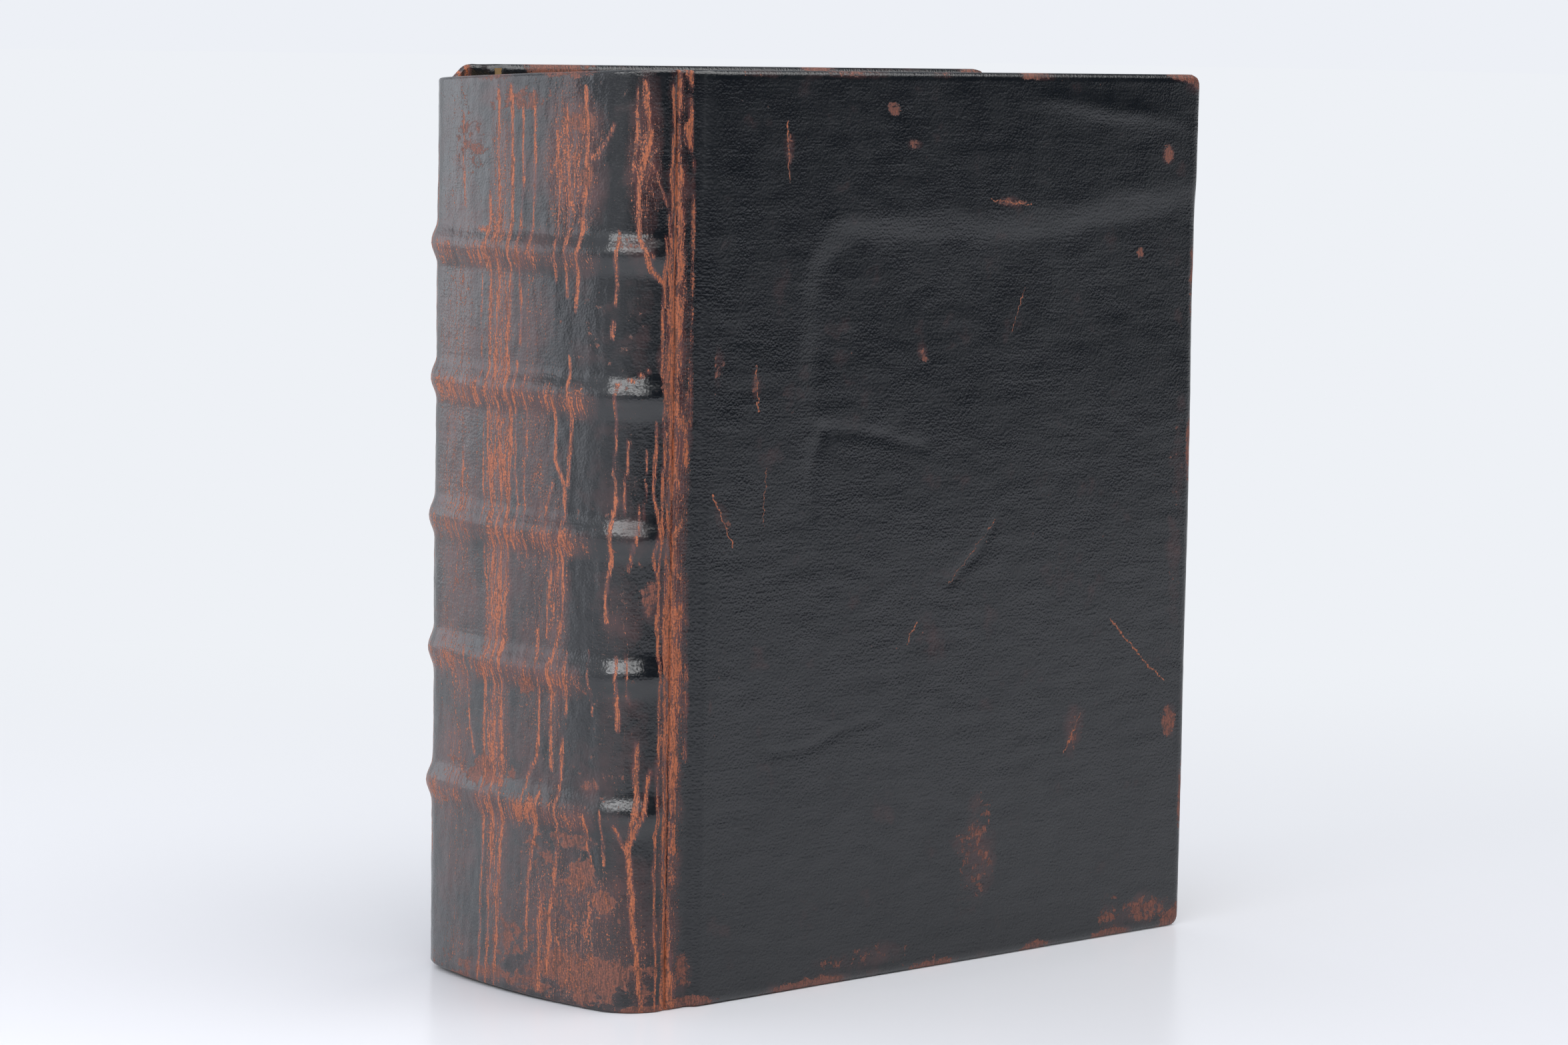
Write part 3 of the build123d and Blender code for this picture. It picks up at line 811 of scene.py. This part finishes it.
def twisted_cord():
    """Hemp cord: dull straw colour, with the twist of its strands."""
    material, tree, shader = new_material("hemp_cord")
    place = add(tree, "TexCoord", out=3)
    twist = add(
        tree, "TexWave", ins={"Vector": place, "Scale": 500.0, "Distortion": 1.0}, bands_direction="DIAGONAL"
    )
    tone = add(
        tree, "Mix", out=2, ins={0: twist, 6: colour("#8d7a58"), 7: colour("#b9a67f")}, data_type="RGBA"
    )
    tree.links.new(tone, shader.inputs["Base Color"])
    shader.inputs["Roughness"].default_value = 0.8
    bump = add(tree, "Bump", ins={"Height": twist, "Strength": 0.5, "Distance": 0.2 * MM})
    tree.links.new(bump, shader.inputs["Normal"])
    return material


goatskin = dyed_leather()
suede = flesh_side()
page_edges = aged_paper("page_edges", "#c4ab80", "#6e5535", leaves_apart=0.7)
endpaper = aged_paper("endpaper", "#c2ab84", "#94784f")
pasteboard = aged_paper("pasteboard", "#8f7856", "#6c573b")
waste_paper = aged_paper("waste_paper", "#a58c66", "#7b6444")
hemp = twisted_cord()
silk = wound_silk()

finishes = {
    "text_block": page_edges,
    "board": pasteboard,
    "flyleaf": endpaper,
    "pastedown": endpaper,
    "lining": waste_paper,
    "cord": hemp,
    "slip": hemp,
    "endband": silk,
}
for node_name, node in nodes.items():
    for word, finish in finishes.items():
        if word in node_name:
            node.data.materials.clear()
            node.data.materials.append(finish)

# ---- the covering leather, in three pieces that meet on the hinge lines


def covering(name, start, end, step, node_name):
    """A stretch of leather with its wall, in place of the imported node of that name."""
    bm = leather_skin(name, start, end, step)
    piece = finish_piece(bm, name, goatskin)
    wall = piece.modifiers.new("wall", "SOLIDIFY")
    wall.thickness = skin * MM
    wall.offset = -1.0
    piece.data.materials.append(suede)
    wall.material_offset = 1
    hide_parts(node_name)
    return piece


spine = covering("spine_covering", front_hinge_s, back_hinge_s, spine_step, "spine_leather")
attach(spine, "block")
front = covering("front_covering", 0.0, front_hinge_s, front_step, "front_leather")
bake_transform(front)
back = covering("back_covering", back_hinge_s, whole_s, back_step, "back_leather")
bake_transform(back)

# ---- floor, backdrop and light
# the table is plain near the book, and turns into the pale backdrop behind and beside it
floor_mesh = bmesh.new()
bmesh.ops.create_grid(floor_mesh, x_segments=1, y_segments=1, size=30.0)
material, tree, shader = new_material("white_table")
shader.inputs["Roughness"].default_value = 0.25
shader.inputs["Specular IOR Level"].default_value = 0.4
ground = add(tree, "TexCoord", out=3)
back_way = (0.675, 0.737, 0.0)
behind = add(tree, "VectorMath", out=1, ins={0: ground, 1: back_way}, operation="DOT_PRODUCT")
behind = add(tree, "MapRange", ins={0: behind, 1: -0.12, 2: 0.62}, interpolation_type="SMOOTHSTEP")
away = add(tree, "VectorMath", out=1, ins={0: ground}, operation="LENGTH")
beside = add(tree, "MapRange", ins={0: away, 1: 0.6, 2: 1.2}, interpolation_type="SMOOTHSTEP")
around = add(tree, "Math", ins={0: behind, 1: beside}, operation="MAXIMUM")
rays = add(tree, "LightPath")
around = add(tree, "Math", ins={0: around, 1: rays.node.outputs[0]}, operation="MULTIPLY")
behind = add(tree, "Math", ins={0: behind, 1: rays.node.outputs[3]}, operation="MULTIPLY")
far = add(tree, "Math", ins={0: around, 1: behind}, operation="MAXIMUM")
# past about 2 m the table's colour is painted dark: painted shade standing in for the dim, unlit room beyond
# the lit table
edge = add(tree, "MapRange", ins={0: away, 1: 1.6, 2: 2.3}, interpolation_type="SMOOTHSTEP")
table = add(tree, "Mix", out=2, ins={0: edge, 6: colour("#e4e5ea"), 7: colour("#2c3034")}, data_type="RGBA")
tree.links.new(table, shader.inputs["Base Color"])
backdrop = add(tree, "Emission", ins={"Color": colour("#eef1f6"), "Strength": 1.0})
ground = add(tree, "MixShader", ins={0: far, 1: shader.outputs[0], 2: backdrop})
tree.links.new(ground, tree.nodes["Material Output"].inputs[0])
floor = finish_piece(floor_mesh, "floor", material, smooth_faces=False)


def area_lamp(name, place, aim, width, depth, power, tone):
    """A soft square lamp at a place, turned to its aim, in metres and watts."""
    lamp = bpy.data.lights.new(name, "AREA")
    lamp.shape = "RECTANGLE"
    lamp.size, lamp.size_y = width, depth
    lamp.energy = power
    lamp.color = colour(tone)[:3]
    holder = bpy.data.objects.new(name, lamp)
    holder.location = place
    holder.rotation_mode = "QUATERNION"
    holder.rotation_quaternion = (Vector(aim) - Vector(place)).to_track_quat("-Z", "Y")
    bpy.context.scene.collection.objects.link(holder)
    return holder


area_lamp("overhead", (0.35, -0.65, 1.8), (0.15, -0.25, 0.0), 2.2, 1.7, 34.0, "#ffffff")
area_lamp("upper_left", (-1.35, -0.68, 0.95), (0.0, 0.0, 0.13), 2.3, 0.42, 19.0, "#ffffff")
area_lamp("far_front", (1.2, -1.5, 1.5), (1.2, -1.5, 0.0), 1.5, 1.5, 8.0, "#ffffff")
area_lamp("left_back", (-0.95, 1.35, 0.35), (0.0, 0.0, 0.12), 1.5, 0.7, 4.5, "#f4f7ff")

world = bpy.data.worlds.new("studio")
bpy.context.scene.world = world
world.use_nodes = True
tree = world.node_tree
background = tree.nodes["Background"]
rays = add(tree, "LightPath")
seen = rays.node.outputs[0]
way = add(tree, "TexCoord")
facing = add(tree, "VectorMath", out=1, ins={0: way, 1: (-0.62, 0.78, 0.0)}, operation="DOT_PRODUCT")
behind = add(tree, "MapRange", ins={0: facing, 1: -0.35, 2: 0.5}, interpolation_type="SMOOTHSTEP")
room = add(
    tree, "Mix", out=2, ins={0: behind, 6: colour("#34383e"), 7: colour("#e9ecf3")}, data_type="RGBA"
)
shown = add(tree, "Mix", out=2, ins={0: seen, 6: room, 7: colour("#edf0f6")}, data_type="RGBA")
tree.links.new(shown, background.inputs["Color"])
background.inputs["Strength"].default_value = 1.0

# ---- camera: a long lens a little above the head of the book, off the spine's front corner
camera = bpy.data.cameras.new("camera")
camera.sensor_width = 36.0
camera.lens = 106.0
camera.clip_start, camera.clip_end = 0.05, 40.0
viewer = bpy.data.objects.new("camera", camera)
bpy.context.scene.collection.objects.link(viewer)
heading, pitch, roll = math.radians(-42.48), math.radians(6.10), math.radians(1.015)
forward = Vector(
    (-math.sin(heading) * math.cos(pitch), math.cos(heading) * math.cos(pitch), -math.sin(pitch))
)
level = Vector((math.cos(heading), math.sin(heading), 0.0))
upward = level.cross(forward)
right = level * math.cos(roll) + upward * math.sin(roll)
above = upward * math.cos(roll) - level * math.sin(roll)
axes = Matrix((right, above, -forward)).transposed()
viewer.rotation_mode = "QUATERNION"
viewer.rotation_quaternion = axes.to_quaternion()
viewer.location = (-0.8853, -0.958, 0.261)
bpy.context.scene.camera = viewer

scene = bpy.context.scene
scene.view_settings.view_transform = "Standard"
